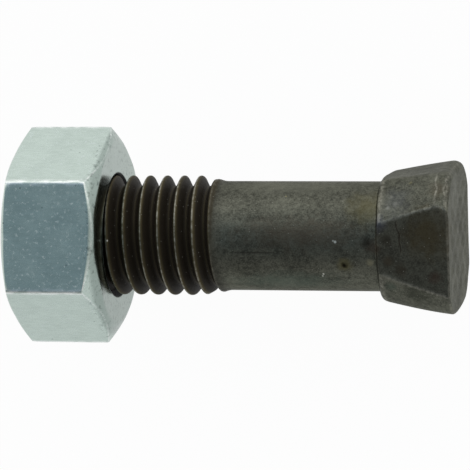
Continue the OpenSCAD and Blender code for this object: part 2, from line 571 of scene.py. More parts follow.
@dataclass
class ShankAndHead:
    """Plain shank and forged head, a round cone with four flats pressed into it, in millimetres and degrees.

    Heights in the head are counted from where it starts, and drops from its end face.
    """

    shank: Shank = field(default_factory=Shank)
    length: float = 45.0
    head_l: float = 7.5
    cone_a: float = 13.6
    shoulder_r: float = 1.25

    # Mesh: steps round, rows up to each height, and rings on the end face
    steps: int = 344
    rows: tuple[tuple[float, int], ...] = ((-0.8, 10), (1.6, 36), (3.2, 24))
    cone_rows: int = 18
    rim_step: int = 3
    face_rings: int = 16
    face_tolerance: float = 1e-4

    # Flats, each with its distance from the axis at the end face, its lean and how soft its corners get
    turn: float = 10.0
    flats: tuple[Row, ...] = ((7.0, 8.2, 0.1), (7.2, 8.9, 0.8), (6.7, 5.8, 0.0), (7.27, 10.6, 1.2))
    flat_round: float = 0.07
    front_flat: int = 2
    front_span: float = 45.0
    fold_end: Ramp = Ramp(-1.3, 0.0)
    fold_side: Ramp = Ramp(174.0, 156.0)
    fold_out: float = 0.9

    # Shoulder: angle, height at which it starts and how steeply it rises there
    shoulder: tuple[Row, ...] = (
        (0, 0.0, 1.5), (60, -0.1, 1.2), (92, -0.2, 1.0), (120, 0.0, 2.0), (145, 0.1, 4.0), (165, 0.15, 3.5),
        (190, 0.2, 3.0), (215, 0.15, 3.0), (240, 0.05, 3.0), (262, -0.12, 2.0), (300, -0.1, 1.5),
        (360, 0.0, 1.5))
    shoulder_round: float = 0.2
    fillet: float = 0.06
    front_fillet: Band = Band(192.0, 24.0, 0.1)
    round_side: Band = Band(264.0, 22.0)
    round_shoulder_r: float = 1.0
    round_slope: float = 0.2
    round_release: float = 5.0

    # Rounding of the end rim: angle and radius
    rim_l: float = 1.6
    rims: tuple[Point, ...] = (
        (-35, 0.8), (10, 0.77), (52, 0.6), (78, 1.05), (100, 1.2), (145, 0.8), (190, 0.35), (235, 0.3),
        (280, 0.3), (308, 0.35), (328, 0.8), (370, 0.77))

    # Hair crack across the front flat: its height along the bolt is a wavy curve of the distance across
    crack: Band = Band(0.0, 0.09)
    crack_line: Row = (-0.06, -0.13, 40.14)
    crack_wave: Point = (0.06, 4.3)
    crack_reach: Band = Band(0.1, 2.0, 3.0)
    crack_span: float = 40.0
    crack_depth: float = 0.08

    # Shallow dents on the end face
    dent_depth: float = 0.05
    dent_waves: tuple[Point, Point] = ((1.9, 0.7), (2.3, -0.4))
    dent_end: Ramp = Ramp(1.0, 0.75)

    # Bare steel along the corners, at the shoulder's foot, on the rim, and in two ragged scuffs, each with
    # its drop and the sway and rate of two waves
    corner_wear: Band = Band(0.0, 0.08)
    corner_from: float = 0.9
    corner_end: Ramp = Ramp(0.0, -0.5)
    front_corners: Ramp = Ramp(0.0, 1.0, 0.45, 1.0)
    other_corners: float = 0.2
    foot_wear: Band = Band(0.65, 0.2, 0.45)
    rim_wear: Band = Band(0.0, 0.1, 0.3)
    rim_wear_share: float = 0.3
    scuff_side: Band = Band(139.0, 17.0)
    scuff_wear: Band = Band(0.0, 0.08, 0.7)
    scuffs: tuple[tuple[float, Point, Point], ...] = (
        (1.35, (0.1, 13), (0.06, 31)), (0.42, (0.08, 17), (0.05, 37)))

    # Film of dried oil on the front flat
    film: Ramp = Ramp(0.0, 0.15, 0.0, 0.4)
    film_from: float = 0.2

    @property
    def head_z(self) -> float:
        """Height along the bolt at which the head starts."""
        return self.length - self.head_l

    def on_front(self, angle: np.ndarray, span: float) -> np.ndarray:
        """Whether each angle is within a span of the front flat's middle."""
        return np.abs(angle - self.turn - 90 * self.front_flat) < span

    def outline(self) -> list[Point]:
        """Straight half outline that has a row of points wherever the head needs one.

        Returns:
            Radius and height of each point.
        """
        points = [(self.shank.radius, self.shank.joint_z + self.shank.joint_gap)]
        for rise, count in self.rows:
            points += line(points[-1], (self.shank.radius, self.head_z + rise), count)
        points += line(points[-1], (self.shank.radius, self.length - self.rim_l), self.cone_rows)
        for turned in range(self.rim_step, 91, self.rim_step):
            drop = self.rim_l * (1 - math.sin(math.radians(turned)))
            points.append((self.shank.radius, self.length - drop))
        return points + line(points[-1], (0.0, self.length), self.face_rings)

    def flat_radius(self, height: np.ndarray, angle: np.ndarray) -> tuple[np.ndarray, np.ndarray]:
        """Radius of the four flats, with the upper corner of the front one folded out at its end.

        Args:
            height: heights along the bolt.
            angle: angles round it.
        Returns:
            The radius at each place, and how soft the corner near it gets.
        """
        turned = angle - self.turn
        off = np.radians((turned + 45) % 90 - 45)
        side = (np.round(turned / 90) % 4).astype(int)
        width, lean, soft = np.array(self.flats).T[:, side]
        flat = (width - (self.length - height) * np.tan(np.radians(lean))) / np.cos(off)
        fold = self.fold_end.at(height - self.length) * self.fold_side.at(angle)
        return flat + np.where(side == self.front_flat, self.fold_out * fold * fold, 0), soft

    def shoulder_radius(self, height: np.ndarray, angle: np.ndarray) -> np.ndarray:
        """Radius of the shoulder, a steep step that is round on one side.

        Args:
            height: heights along the bolt.
            angle: angles round it.
        Returns:
            The radius at each place.
        """
        turns, starts, slopes = np.array(self.shoulder).T
        past = height - self.head_z - np.interp(angle, turns, starts)
        plain = past * np.interp(angle, turns, slopes)
        turned = self.round_shoulder_r - np.clip(past, 0, self.round_shoulder_r)
        bulge = (np.sqrt(self.round_shoulder_r ** 2 - turned ** 2) + self.round_slope * past
                 + self.round_release * np.clip(past - self.round_shoulder_r, 0, None))
        return self.shank.radius + plain + (bulge - plain) * self.round_side.at(angle)

    def radius(self, height: np.ndarray, angle: np.ndarray) -> tuple[np.ndarray, np.ndarray]:
        """Radius of the shank and head before the end rim is rounded.

        Args:
            height: heights along the bolt.
            angle: angles round it.
        Returns:
            The radius at each place, and how far the round cone is from the flats there.
        """
        rise = height - self.head_z - self.shoulder_r
        cone = self.shank.radius + self.shoulder_r + rise * math.tan(math.radians(self.cone_a))
        flat, soft = self.flat_radius(height, angle)
        along = np.clip((height - self.head_z) / self.head_l, 0, 1)
        body = smooth_min(cone, flat, self.flat_round + soft * along ** 3)
        body = smooth_min(body, self.shoulder_radius(height, angle), self.shoulder_round)
        fillet = self.fillet + self.front_fillet.at(angle)
        return smooth_max(body, np.full_like(body, self.shank.radius), fillet), cone - flat

    def cracked(self, body: np.ndarray, height: np.ndarray, angle: np.ndarray) -> np.ndarray:
        """How much of the hair crack is at each place.

        Args:
            body: radius at each place.
            height: heights along the bolt.
            angle: angles round it.
        Returns:
            Amounts from none to full.
        """
        across = body * np.sin(np.radians(angle))
        sway, rate = self.crack_wave
        split = np.polyval(self.crack_line, across) + sway * np.sin(rate * across)
        reach = np.clip(self.crack_reach.at(across) - 1, 0, 1)
        return self.crack.at(height - split) * reach * self.on_front(angle, self.crack_span)

    def dents(self, radius: np.ndarray, angle: np.ndarray, share: np.ndarray) -> np.ndarray:
        """Depth of the dents on the end face.

        Args:
            radius: radius of each vertex.
            angle: angle of each vertex.
            share: share of the way from the axis to the rim.
        Returns:
            The depth at each vertex, none at the rim.
        """
        turned = np.radians(angle)
        (rate_x, shift_x), (rate_y, shift_y) = self.dent_waves
        wave_x = np.sin(rate_x * radius * np.cos(turned) + shift_x)
        wave_y = np.sin(rate_y * radius * np.sin(turned) + shift_y)
        return self.dent_depth * (1 + wave_x * wave_y) * self.dent_end.at(share)

    def worn(self, height: np.ndarray, angle: np.ndarray, ridge: np.ndarray, rim: np.ndarray) -> np.ndarray:
        """How bare the steel is on the sides of the head.

        Args:
            height: heights along the bolt.
            angle: angles round it.
            ridge: how far the round cone is from the flats.
            rim: rounding of the end rim.
        Returns:
            Amounts from none to full.
        """
        rise, drop = height - self.head_z, height - self.length
        along = np.clip(rise / self.head_l, 0, 1)
        corner = self.corner_wear.at(ridge) * (rise > self.corner_from) * self.corner_end.at(drop)
        corner = corner * np.where(self.on_front(angle, self.front_span), self.front_corners.at(along ** 2),
                                   self.other_corners)
        foot = self.foot_wear.at(rise) * (ridge < 0)
        worn = [corner, foot, self.rim_wear.at(drop + self.rim_wear_share * rim)]
        turned = np.radians(angle)
        for depth, *waves in self.scuffs:
            path = drop + depth - sum(sway * np.sin(rate * turned) for sway, rate in waves)
            worn.append(self.scuff_wear.at(path) * self.scuff_side.at(angle))
        return np.maximum.reduce(worn)

    def build(self) -> bpy.types.Object:
        """Spin the outline and press the head's forms into it.

        Returns:
            The mesh, open towards the thread.
        """
        piece = Bench.draw("head_blank", self.outline())
        Bench.spin(piece, self.steps)
        radius, z, angle = Bench.points(piece)
        face = z > self.length - self.face_tolerance
        body, ridge = self.radius(z, angle)
        crack = self.cracked(body, z, angle)
        body = body - self.crack_depth * crack
        first = self.rims[0][0]
        rim = np.interp((angle - first) % 360 + first, *np.array(self.rims).T)
        turned = np.clip(z - self.length + rim, 0, rim)
        edge = body - (rim - np.sqrt(rim ** 2 - turned ** 2))
        share = np.clip(radius / self.shank.radius, 0, 1)
        radius = np.where(face, share * edge, edge)
        Bench.place(piece, radius, z - self.dents(radius, angle, share) * face, angle)
        Bench.mark(piece, WEAR_AND_HIGHLIGHT, self.worn(z, angle, ridge, rim) * ~face)
        filmed = self.on_front(angle, self.front_span) & (z > self.head_z + self.film_from) & ~face
        Bench.mark(piece, SOOT, np.maximum(crack, self.film.at(ridge) * filmed))
        return piece


@dataclass
class Bolt:
    """Forged bolt with a rolled thread, plain shank and tapered square head."""

    shank: Shank = field(default_factory=Shank)

    def build(self, seat_height: float) -> bpy.types.Object:
        """Make the bolt's mesh and lay it down.

        Args:
            seat_height: height of the nut's bearing face along the bolt.
        Returns:
            The finished object.
        """
        piece = ThreadedEnd(shank=self.shank).build()
        head = ShankAndHead(shank=self.shank).build()
        Bench.join(piece, [head], [self.shank.joint_z + self.shank.joint_gap / 2])
        Bench.lay_down(piece, seat_height)
        return piece

    def dress(self, piece: bpy.types.Object, finish: "BlackSteel") -> None:
        """Give the bolt its finish and its body.

        Args:
            piece: the bolt.
            finish: what it is made of.
        """
        piece.data.materials.clear()
        piece.data.materials.append(finish.material())
        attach(piece, Body.BOLT.value)
        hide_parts("bolt")


@dataclass
class HexNut:
    """Cold-forged hexagon nut, bevelled on both faces, with its own thread, in millimetres and degrees."""

    thread: Thread = field(default_factory=Thread)
    width: float = 18.84
    corner_d: float = 21.648
    height: float = 9.8
    low: float = 0.8
    sides: int = 6

    # Bore: play over the bolt's thread, radius of its own crests, and countersinks
    play: float = 0.07
    crest_r: float = 5.16
    sink_d: float = 12.5
    sink_round: float = 0.02
    joint_gap: float = 0.05

    # Outer face, and bearing face, whose bevel is uneven round the nut
    outer_face_d: float = 16.7
    outer_bevel_a: float = 18.5
    face_d: float = 17.7
    bevel_a: float = 27.0
    face_round: float = 0.16
    seat_bias: float = 0.55
    seat_dips: tuple[Band, ...] = (Band(211.0, 20.0, 0.5), Band(150.0, 14.0, 0.25))

    # Edges between the flats and the bevels, softer near the middle of a flat than at its corners
    edge_round: float = 0.06
    mouth_round: Point = (0.95, 0.3)
    mouth_reach: Ramp = Ramp(1.5, 0.8)

    # Polish along the edges, with painted highlights on it, strongest near the corners of the bearing face
    # and on the corners themselves
    edge_wear_and_highlight: Band = Band(0.0, 0.12)
    edge_polish_and_highlight: float = 0.3
    corner_polish_and_highlight: Band = Band(26.0, 6.0, 0.7)
    corner_tolerance: float = 0.02

    # Mesh: steps round, and rows on the plain ring, the bevels and the sides
    outer_steps: int = 576
    thread_steps: int = 128
    ring_r: float = 7.9
    ring_rows: int = 8
    bevel_rows: int = 40
    side_rows: int = 40

    @property
    def seat(self) -> float:
        """Height of the bearing face along the bolt."""
        return self.low + self.height

    def outline(self) -> list[Point]:
        """Half outline of the round blank, from the lower mouth round to the upper mouth.

        Returns:
            Radius and height of each point.
        """
        mouth = (self.sink_d / 2 + self.joint_gap, self.low)
        ring = (self.ring_r, self.low)
        corner = (self.corner_d / 2, self.low)
        lower = [mouth] + line(mouth, ring, self.ring_rows) + line(ring, corner, self.bevel_rows)
        side = line(corner, (self.corner_d / 2, self.seat), self.side_rows)[:-1]
        return lower + side + [(r, self.seat) for r, _ in reversed(lower)]

    def bevelled(self, radius: np.ndarray, share: np.ndarray, angle: np.ndarray) -> np.ndarray:
        """Heights between the two bevelled faces.

        Args:
            radius: radius of each vertex.
            share: share of the way from the outer face to the bearing face.
            angle: angle of each vertex.
        Returns:
            The height of each vertex.
        """
        outer_slope, slope = (math.tan(math.radians(a)) for a in (self.outer_bevel_a, self.bevel_a))
        zero = np.zeros_like(radius)
        low = self.low + smooth_max(zero, (radius - self.outer_face_d / 2) * outer_slope, self.face_round)
        face_r = self.face_d / 2 + self.seat_bias * np.clip(np.sin(np.radians(angle)), 0, 1)
        face_r = face_r - sum(dip.at(angle) for dip in self.seat_dips)
        high = self.seat - smooth_max(zero, (radius - face_r) * slope, self.face_round)
        return low + (high - low) * share

    def blank(self) -> bpy.types.Object:
        """Turned blank with six flats pressed into it, bevelled on both faces.

        Returns:
            The mesh, open at both mouths.
        """
        piece = Bench.draw("nut_blank", self.outline())
        Bench.spin(piece, self.outer_steps)
        radius, z, angle = Bench.points(piece)
        half = 180 / self.sides
        off = np.abs((angle + half) % (2 * half) - half)
        flat = self.width / 2 / np.cos(np.radians(off))
        share = (z - self.low) / self.height
        height = self.bevelled(radius, share, angle)
        near = self.mouth_reach.at(np.minimum(height - self.low, self.seat - height))
        soft = np.interp(off, (0, half), self.mouth_round)
        width = self.edge_round + (soft - self.edge_round) * near * near * (3 - 2 * near)
        Bench.place(piece, smooth_min(radius, flat, width), height, angle)
        # Painted highlights: near white along the edges and on the corners, kept with the polish in the wear
        # attribute
        upper_half = share > 0.5
        polish_and_highlight = self.edge_polish_and_highlight + self.corner_polish_and_highlight.at(off) * upper_half
        polish_and_highlight = np.where(radius > self.corner_d / 2 - self.corner_tolerance, 1, polish_and_highlight)
        Bench.mark(piece, WEAR_AND_HIGHLIGHT, self.edge_wear_and_highlight.at(radius - flat) * polish_and_highlight)
        return piece

    def bore(self) -> bpy.types.Object:
        """Threaded bore with a countersink at both ends, in phase with the bolt's thread.

        Returns:
            The mesh, open at both mouths.
        """
        piece = self.thread.coil("plated_nut", self.low, self.seat, self.thread_steps)
        _, z, angle = Bench.points(piece)
        groove = np.maximum(self.thread.radius(z, angle) + self.play, self.crest_r)
        sink = self.sink_d / 2 - np.minimum(z - self.low, self.seat - z)
        Bench.place(piece, smooth_max(groove, sink, self.sink_round), z, angle)
        Bench.mark(piece, WEAR_AND_HIGHLIGHT, np.zeros_like(z))
        return piece

    def build(self) -> bpy.types.Object:
        """Make the nut's mesh and lay it down.

        Returns:
            The finished object.
        """
        piece = self.bore()
        Bench.join(piece, [self.blank()], [self.low, self.seat])
        Bench.lay_down(piece, self.seat)
        return piece

    def dress(self, piece: bpy.types.Object, finish: "ZincPlate") -> None:
        """Give the nut its finish and its body.

        Args:
            piece: the nut.
            finish: what it is plated with.
        """
        piece.data.materials.clear()
        piece.data.materials.append(finish.material())
        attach(piece, Body.NUT.value)
        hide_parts("hex_nut")


def bolt_frame(tree: bpy.types.NodeTree) -> bpy.types.NodeSocket:
    """Coordinates along the bolt: x from the nut's bearing face to the head, z up, in millimetres.

    Args:
        tree: node tree that takes the nodes.
    Returns:
        The socket that gives the place.
    """
    joint = frame["joints"][0]
    dip = math.atan2(-joint["axis"][2], joint["axis"][0])
    coord = add_node(tree, "TexCoord")
    mapping = add_node(tree, "Mapping", {"Vector": coord.outputs["Object"], "Location": joint["pos_m"],
                                         "Rotation": (0, dip, 0), "Scale": (MM, MM, MM)},
                       vector_type="TEXTURE")
    return mapping.outputs[0]


@dataclass(frozen=True)
class Pattern:
    """Noise on a surface.

    Its size is in millimetres, and it is drawn out along the bolt where drawn is under one. Share is
    its part in the mottled tone, and relief its part in the bumps.
    """

    size_mm: float
    detail: float
    roughness: float = 0.5
    drawn: float = 1.0
    share: float = 0.0
    relief: float = 0.0

    def inputs(self, place: bpy.types.NodeSocket) -> dict:
        """Inputs of a noise node that draws the pattern at a place."""
        return {"Vector": place, "Scale": 1 / self.size_mm, "Detail": self.detail,
                "Roughness": self.roughness}


@dataclass(frozen=True)
class Mark:
    """A local stain on a surface, placed along the bolt, to its side and up, in millimetres."""

    place: Row
    width: float
    colour: str
    strength: float
    stretch: float = 1.0


@dataclass(frozen=True)
class BlackSteel:
    """Quenched and oiled carbon steel: a thin dark oxide skin, uneven and worn at the edges.

    The eye gets a satin, nearly black metal, mottled where the oil dried, browner in the thread,
    with bare steel showing along edges and in pin points.
    """

    dark: str = "#40413a"
    light: str = "#6a6b60"
    oil: str = "#4a432f"
    bare: str = "#a3a196"
    dust: str = "#98978d"
    edge_tint: str = "#d0d0cc"
    soot: str = "#241f18"

    # The grit and the dust are drawn coarser than the real ones, so that they show
    cloud: Pattern = Pattern(2.6, 6.0, 0.62, share=0.28, relief=2.5)
    grain: Pattern = Pattern(0.42, 4.0, 0.6, share=0.3)
    grit: Pattern = Pattern(0.14, 2.0, share=0.3, relief=0.35)
    streak: Pattern = Pattern(0.9, 4.0, drawn=0.12, share=0.12, relief=0.8)
    tone: Ramp = Ramp(0.41, 0.59)
    threaded: Ramp = Ramp(10.9, 10.5)
    patchy: Ramp = Ramp(0.4, 0.6, 0.25)
    speck_mm: float = 0.6
    speck: Ramp = Ramp(0.1, 0.04, 0.0, 0.6)

    roughness: Ramp = Ramp(0.35, 0.65, 0.48, 0.36)
    soot_roughness: float = 0.6
    metallic: Ramp = Ramp(0.0, 1.0, 1.0, 0.0)
    specular: float = 0.15
    relief_mm: float = 0.025

    # Stains have a ragged edge, between these shares of their width
    ragged: Pattern = Pattern(0.8, 4.0)
    mark_edge: Point = (1.5, 0.6)
    marks: tuple[Mark, ...] = (
        # Bands along the shank, and one thin drawn line
        Mark((19.5, 0.4, 5.4), 2.3, "#5d5346", 0.55, 4.0),
        Mark((18.0, 5.0, 2.2), 2.0, "#7c7d71", 0.45, 4.0),
        Mark((18.0, -4.4, 3.2), 2.1, "#525c53", 0.6, 3.5),
        Mark((15.0, -1.5, 5.2), 0.12, "#23221d", 0.6, 30.0),
        # Oil and scale at the neck
        Mark((26.0, 3.0, 4.5), 2.8, "#5f5b41", 0.55),
        Mark((26.8, -0.9, 5.6), 1.2, "#4a382c", 0.5),
        Mark((26.2, -0.4, 5.4), 0.8, "#1c1b17", 0.55),
        Mark((27.5, 1.4, 6.2), 1.2, "#454b66", 0.4),
        Mark((26.5, -2.4, 4.9), 0.6, "#8f8b74", 0.6),
        # Oil, scale and rubbed places on the head
        Mark((33.4, 4.8, 6.4), 1.6, "#575042", 0.4),
        Mark((32.4, 0.4, 6.6), 3.4, "#52482f", 0.65),
        Mark((31.0, -5.2, 4.6), 2.3, "#34362e", 0.6),
        Mark((29.3, 3.4, 5.6), 2.4, "#5c6064", 0.3),
        Mark((34.4, 4.0, 2.5), 3.2, "#7d7f78", 0.3),
        Mark((34.4, -1.0, 2.0), 2.6, "#45463f", 0.4),
        Mark((28.6, 4.0, 5.6), 0.35, "#84857f", 0.45),
        Mark((29.1, 3.3, 6.1), 0.4, "#7e7f7a", 0.45),
        Mark((28.4, 2.9, 6.1), 0.3, "#8c8d87", 0.5),
        Mark((30.4, 5.4, 4.9), 0.3, "#8a8664", 0.5),
        Mark((28.2, -0.2, 6.1), 0.9, "#2b241c", 0.5),
        Mark((28.4, -2.3, 5.8), 0.8, "#4d4436", 0.6),
        Mark((29.6, -3.1, 5.9), 1.0, "#3a2f22", 0.5),
        Mark((33.0, -3.8, 6.2), 1.0, "#4a3028", 0.5),
        Mark((28.5, -4.8, 4.8), 0.9, "#4b554c", 0.6),
        Mark((33.7, -4.7, 6.2), 0.35, "#b08a86", 0.7),
        # One black spot with a brown edge on the shank
        Mark((23.9, -2.7, 4.7), 1.1, "#686344", 0.7),
        Mark((23.9, -2.7, 4.7), 0.52, "#0b0b0a", 0.95),
        # Bare pin points on the shank
        Mark((23.1, -0.4, 5.4), 0.18, "#e0dfd6", 0.9),
        Mark((22.9, -0.3, 5.4), 0.13, "#c9c8be", 0.85),
        Mark((21.7, -3.6, 4.1), 0.15, "#dfdfd6", 0.85),
        Mark((21.6, -3.8, 3.9), 0.13, "#c4c4ba", 0.85),
        Mark((17.7, -1.4, 5.3), 0.1, "#b4b4aa", 0.7),
        Mark((17.9, 4.0, 3.7), 0.12, "#b9b078", 0.8),
    )
    # Specks of rust and grit that lie on the oil in the thread
    specks: tuple[Mark, ...] = (
        Mark((4.8, -5.4, 1.4), 0.35, "#8a3326", 0.8),
        Mark((8.6, -4.3, 3.1), 0.4, "#7a1f1c", 0.7),
        Mark((1.0, 5.5, 1.0), 0.3, "#b59a92", 0.7),
        Mark((0.4, -0.4, 5.9), 0.12, "#d0cfc6", 0.9),
    )

    def material(self) -> bpy.types.Material:
        """Make the material.

        Returns:
            The material.
        """
        material = bpy.data.materials.new("quenched_oiled_steel")
        material.use_nodes = True
        tree = material.node_tree
        shader = tree.nodes["Principled BSDF"]
        shader.inputs["Specular Tint"].default_value = linear(self.edge_tint)
        shader.inputs["Specular IOR Level"].default_value = self.specular
        place = bolt_frame(tree)
        cloud = add_node(tree, "TexNoise", self.cloud.inputs(place))
        grain = add_node(tree, "TexNoise", self.grain.inputs(place))
        grit = add_node(tree, "TexNoise", self.grit.inputs(place))
        drawn = add_node(tree, "Mapping", {"Vector": place, "Scale": (self.streak.drawn, 1, 1)})
        streak = add_node(tree, "TexNoise", self.streak.inputs(drawn.outputs[0]))
        mottle = add_node(tree, "Math", {0: cloud.outputs[0], 1: self.cloud.share}, operation="MULTIPLY")
        for noise, look in ((grain, self.grain), (grit, self.grit), (streak, self.streak)):
            mottle = add_node(tree, "Math", {0: noise.outputs[0], 1: look.share, 2: mottle.outputs[0]},
                              operation="MULTIPLY_ADD")
        tone = add_node(tree, "MapRange", self.tone.inputs(mottle.outputs[0]))
        along = add_node(tree, "SeparateXYZ", {0: place})
        threaded = add_node(tree, "MapRange", self.threaded.inputs(along.outputs["X"]))
        worn = add_node(tree, "Attribute", attribute_name=WEAR_AND_HIGHLIGHT)
        patchy = add_node(tree, "MapRange", self.patchy.inputs(grain.outputs[0]))
        worn = add_node(tree, "Math", {0: worn.outputs["Fac"], 1: patchy.outputs[0]}, operation="MULTIPLY")
        soot = add_node(tree, "Attribute", attribute_name=SOOT).outputs["Fac"]
        cells = add_node(tree, "TexVoronoi", {"Vector": place, "Scale": 1 / self.speck_mm})
        speck = add_node(tree, "MapRange", self.speck.inputs(cells.outputs["Distance"]))
        colour = add_node(tree, "Mix", {MIX_SHARE: tone.outputs[0], MIX_UNDER: linear(self.dark),
                                        MIX_OVER: linear(self.light)}, data_type="RGBA")
        colour = add_node(tree, "Mix", {MIX_SHARE: threaded.outputs[0], MIX_UNDER: colour.outputs[MIX_RESULT],
                                        MIX_OVER: linear(self.oil)}, data_type="RGBA")
        colour = self.stained(tree, place, colour.outputs[MIX_RESULT], self.marks)
        for share, over in ((worn.outputs[0], self.bare), (soot, self.soot), (speck.outputs[0], self.dust)):
            colour = add_node(tree, "Mix", {MIX_SHARE: share, MIX_UNDER: colour, MIX_OVER: linear(over)},
                              data_type="RGBA").outputs[MIX_RESULT]
        colour = self.stained(tree, place, colour, self.specks)
        tree.links.new(colour, shader.inputs["Base Color"])
        rough = add_node(tree, "MapRange", self.roughness.inputs(mottle.outputs[0]))
        rough = add_node(tree, "Mix", {MIX_SHARE: soot, FLOAT_UNDER: rough.outputs[0],
                                       FLOAT_OVER: self.soot_roughness}, data_type="FLOAT")
        tree.links.new(rough.outputs[0], shader.inputs["Roughness"])
        metal = add_node(tree, "MapRange", self.metallic.inputs(soot))
        tree.links.new(metal.outputs[0], shader.inputs["Metallic"])
        height = mottle
        for noise, look in ((grit, self.grit), (cloud, self.cloud), (streak, self.streak)):
            height = add_node(tree, "Math", {0: noise.outputs[0], 1: look.relief, 2: height.outputs[0]},
                              operation="MULTIPLY_ADD")
        relief = add_node(tree, "Bump", {"Height": height.outputs[0], "Distance": self.relief_mm * MM,
                                         "Strength": 1.0})
        tree.links.new(relief.outputs[0], shader.inputs["Normal"])
        return material

    def stained(self, tree: bpy.types.NodeTree, place: bpy.types.NodeSocket, colour: bpy.types.NodeSocket,
                marks: tuple[Mark, ...]) -> bpy.types.NodeSocket:
        """Lay local stains over a colour, each with a ragged edge.

        Args:
            tree: node tree that takes the nodes.
            place: place along the bolt.
            colour: colour under the stains.
            marks: the stains, from the lowest to the uppermost.
        Returns:
            The stained colour.
        """
        ragged = add_node(tree, "TexNoise", self.ragged.inputs(place))
        for mark in marks:
            reach = add_node(tree, "Mapping", {"Vector": place, "Location": mark.place,
                                               "Scale": (mark.stretch, 1, 1)}, vector_type="TEXTURE")
            reach = add_node(tree, "VectorMath", {0: reach.outputs[0]}, operation="LENGTH")
            reach = add_node(tree, "Math", {0: ragged.outputs[0], 1: mark.width, 2: reach.outputs["Value"]},
                             operation="MULTIPLY_ADD")
            outer, inner = (share * mark.width for share in self.mark_edge)
            edge = Ramp(outer, inner, 0.0, mark.strength)
            share = add_node(tree, "MapRange", edge.inputs(reach.outputs[0]), interpolation_type="SMOOTHSTEP")
            mix = add_node(tree, "Mix", {MIX_SHARE: share.outputs[0], MIX_UNDER: colour,
                                         MIX_OVER: linear(mark.colour)}, data_type="RGBA")
            colour = mix.outputs[MIX_RESULT]
        return colour


